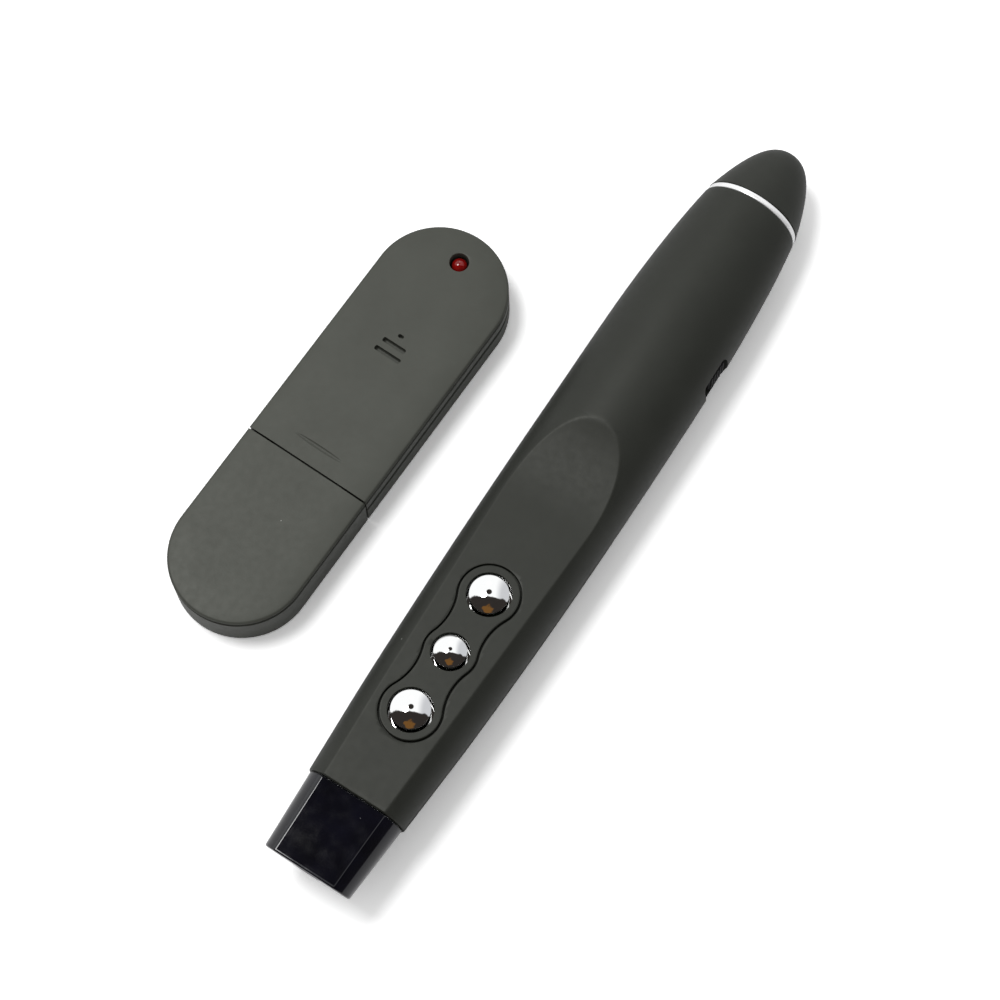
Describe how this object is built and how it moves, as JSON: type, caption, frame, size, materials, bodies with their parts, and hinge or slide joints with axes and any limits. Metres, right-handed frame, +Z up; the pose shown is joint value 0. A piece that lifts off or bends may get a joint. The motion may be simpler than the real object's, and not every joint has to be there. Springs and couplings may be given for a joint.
{
  "type": "laser presenter pen with plug-in receiver",
  "caption": "Slim presenter pen with chrome dome buttons on a scooped thumb face and a smoked laser nose, beside its stick-shaped plug-in receiver with pull-off cap.",
  "frame": {"origin": "middle of the set's footprint on the surface that the pen and its receiver lie on", "axes": "+X along the pen towards its laser nose, +Z up out of the thumb face, the receiver lies at -Y"},
  "size_m": [0.137, 0.0574, 0.0154],
  "materials": {
    "soft_touch": "soft-touch matte, very dark greenish grey",
    "silver": "bright silver plating",
    "smoked_gloss": "polished, near black",
    "chrome": "mirror bright",
    "black_plastic": "fine satin",
    "circuit_board": "green solder mask",
    "steel": "bright",
    "plug_steel": "bright nickel-plated sheet",
    "brass": "turned",
    "gold": "gold plated",
    "lens_glass": "clear polished",
    "battery_wrap": "plain dark shrink sleeve",
    "red_light": "clear red, polished"
  },
  "bodies": {
    "pen": {"upper_shell": "soft_touch", "lower_shell": "soft_touch", "tail_cap": "soft_touch", "silver_ring": "silver", "nose_window": "smoked_gloss", "keypad_plate": "soft_touch", "page_up_switch": "black_plastic", "laser_switch": "black_plastic", "page_down_switch": "black_plastic", "main_board": "circuit_board", "radio_chip": "black_plastic", "crystal": "steel", "rear_board_screw": "steel", "front_board_screw": "steel", "rear_case_screw": "steel", "front_case_screw": "steel", "laser_barrel": "brass", "laser_diode": "steel", "laser_lens": "lens_glass", "laser_driver_board": "circuit_board", "battery_cell": "battery_wrap", "battery_spring": "steel", "positive_contact": "steel", "negative_contact": "steel", "power_switch_body": "black_plastic", "switch_board": "circuit_board"},
    "page_up_button": {"page_up_button": "chrome"},
    "laser_button": {"laser_button": "chrome"},
    "page_down_button": {"page_down_button": "chrome"},
    "power_knob": {"power_knob": "black_plastic"},
    "battery_door": {"battery_door": "soft_touch"},
    "receiver": {"receiver_top_shell": "soft_touch", "receiver_base_shell": "soft_touch", "plug_shell": "plug_steel", "plug_tongue": "black_plastic", "plug_contact_1": "gold", "plug_contact_2": "gold", "plug_contact_3": "gold", "plug_contact_4": "gold", "receiver_board": "circuit_board", "receiver_chip": "black_plastic", "receiver_crystal": "steel", "status_light": "red_light"},
    "receiver_cap": {"receiver_cap": "soft_touch"}
  },
  "joints": [
    {"name": "page_up_button_press", "type": "slide", "parent": "pen", "child": "page_up_button", "axis": [0.0273, 0, -0.9996], "range_m": [0, 0.0005], "stiffness_N_per_m": 300, "springref_m": -0.002},
    {"name": "laser_button_press", "type": "slide", "parent": "pen", "child": "laser_button", "axis": [0.0273, 0, -0.9996], "range_m": [0, 0.0005], "stiffness_N_per_m": 300, "springref_m": -0.002},
    {"name": "page_down_button_press", "type": "slide", "parent": "pen", "child": "page_down_button", "axis": [0.0273, 0, -0.9996], "range_m": [0, 0.0005], "stiffness_N_per_m": 300, "springref_m": -0.002},
    {"name": "power_slide", "type": "slide", "parent": "pen", "child": "power_knob", "axis": [1, 0, 0], "range_m": [0, 0.002]},
    {"name": "battery_door_hinge", "type": "hinge", "parent": "pen", "child": "battery_door", "pos_m": [0, 0.01859, 0], "axis": [0, -1, 0], "range_deg": [0, 60]},
    {"name": "receiver_lift", "type": "slide", "parent": "pen", "child": "receiver", "axis": [0, 0, 1], "range_m": [0, 0.05]},
    {"name": "receiver_cap_pull", "type": "slide", "parent": "receiver", "child": "receiver_cap", "axis": [0.9995, -0.0314, 0], "range_m": [0, 0.022]}
  ]
}
